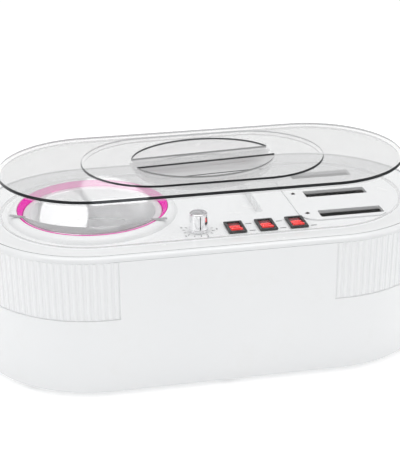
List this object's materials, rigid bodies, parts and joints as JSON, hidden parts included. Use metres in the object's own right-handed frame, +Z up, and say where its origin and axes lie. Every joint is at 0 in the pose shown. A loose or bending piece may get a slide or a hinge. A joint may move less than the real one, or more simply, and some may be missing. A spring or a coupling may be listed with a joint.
{
  "type": "paraffin wax bath",
  "caption": "Free-standing wax heater with a round lift-out pot, narrow cartridge slots, a thermostat knob, rocker switches and a clear lift-off lid.",
  "frame": {"origin": "centre of the overall box in plan, at the flat undersides of the rubber feet", "axes": "+X along the length towards the cartridge slots, +Y towards the back with the mains inlet, +Z up"},
  "size_m": [0.3828, 0.2, 0.1558],
  "materials": {
    "white_abs": "glossy moulded white",
    "clear_lid": "clear, polished",
    "pink_ring": "translucent, glossy",
    "spun_aluminium": "spun, satin",
    "chrome": "polished",
    "steel": "zinc plated",
    "brass": "drawn",
    "black_nylon": "fine matt",
    "red_rocker": "translucent red",
    "red_insulation": "silicone",
    "grey_rubber": "matt",
    "dark_anodised": "dark anodised",
    "mica": "mica plate",
    "green_board": "solder mask",
    "lamp_lens": "smoked lens"
  },
  "bodies": {
    "base": {"lower_housing": "white_abs", "base_plate": "white_abs", "upper_rim": "white_abs", "top_panel": "white_abs", "tool_tray": "white_abs", "slot_plate": "white_abs", "collar_ring": "pink_ring", "heater_cup": "spun_aluminium", "band_heater": "mica", "thermal_fuse": "brass", "thermostat_body": "black_nylon", "power_inlet": "black_nylon", "terminal_block": "black_nylon", "led_board": "green_board", "foot_1": "grey_rubber", "foot_2": "grey_rubber", "foot_3": "grey_rubber", "foot_4": "grey_rubber", "base_screw_1": "steel", "base_screw_2": "steel", "base_screw_3": "steel", "base_screw_4": "steel", "base_screw_5": "steel", "base_screw_6": "steel", "switch_body_1": "black_nylon", "indicator_led_1": "lamp_lens", "cartridge_well_1": "dark_anodised", "cartridge_heater_1": "mica", "inlet_pin_1": "brass", "switch_body_2": "black_nylon", "indicator_led_2": "lamp_lens", "cartridge_well_2": "dark_anodised", "cartridge_heater_2": "mica", "inlet_pin_2": "brass", "switch_body_3": "black_nylon", "indicator_led_3": "lamp_lens", "cartridge_well_3": "dark_anodised", "cartridge_heater_3": "mica", "inlet_pin_3": "brass", "wire_inlet": "black_nylon", "wire_thermostat": "red_insulation", "wire_band_heater": "black_nylon", "wire_cartridges": "red_insulation"},
    "lid": {"lid": "clear_lid"},
    "pot": {"wax_pot": "spun_aluminium"},
    "scraper": {"scraper_bar": "spun_aluminium"},
    "knob": {"thermostat_knob": "chrome"},
    "rocker_body_1": {"rocker_1": "red_rocker"},
    "rocker_body_2": {"rocker_2": "red_rocker"},
    "rocker_body_3": {"rocker_3": "red_rocker"}
  },
  "joints": [
    {"name": "lid_lift", "type": "slide", "parent": "base", "child": "lid", "axis": [0, 0, 1], "range_m": [0, 0.12]},
    {"name": "pot_lift", "type": "slide", "parent": "base", "child": "pot", "axis": [0, 0, 1], "range_m": [0, 0.02]},
    {"name": "scraper_lift", "type": "slide", "parent": "pot", "child": "scraper", "axis": [0, 0, 1], "range_m": [0, 0.025]},
    {"name": "knob_turn", "type": "hinge", "parent": "base", "child": "knob", "pos_m": [-0.0157, -0.057, 0.12], "axis": [0, 0, -1], "range_deg": [0, 270]},
    {"name": "rocker_press_1", "type": "hinge", "parent": "base", "child": "rocker_body_1", "pos_m": [0.0133, -0.0585, 0.1142], "axis": [1, 0, 0], "range_deg": [0, 14]},
    {"name": "rocker_press_2", "type": "hinge", "parent": "base", "child": "rocker_body_2", "pos_m": [0.0381, -0.0585, 0.1142], "axis": [1, 0, 0], "range_deg": [0, 14]},
    {"name": "rocker_press_3", "type": "hinge", "parent": "base", "child": "rocker_body_3", "pos_m": [0.0629, -0.0585, 0.1142], "axis": [1, 0, 0], "range_deg": [0, 14]}
  ]
}
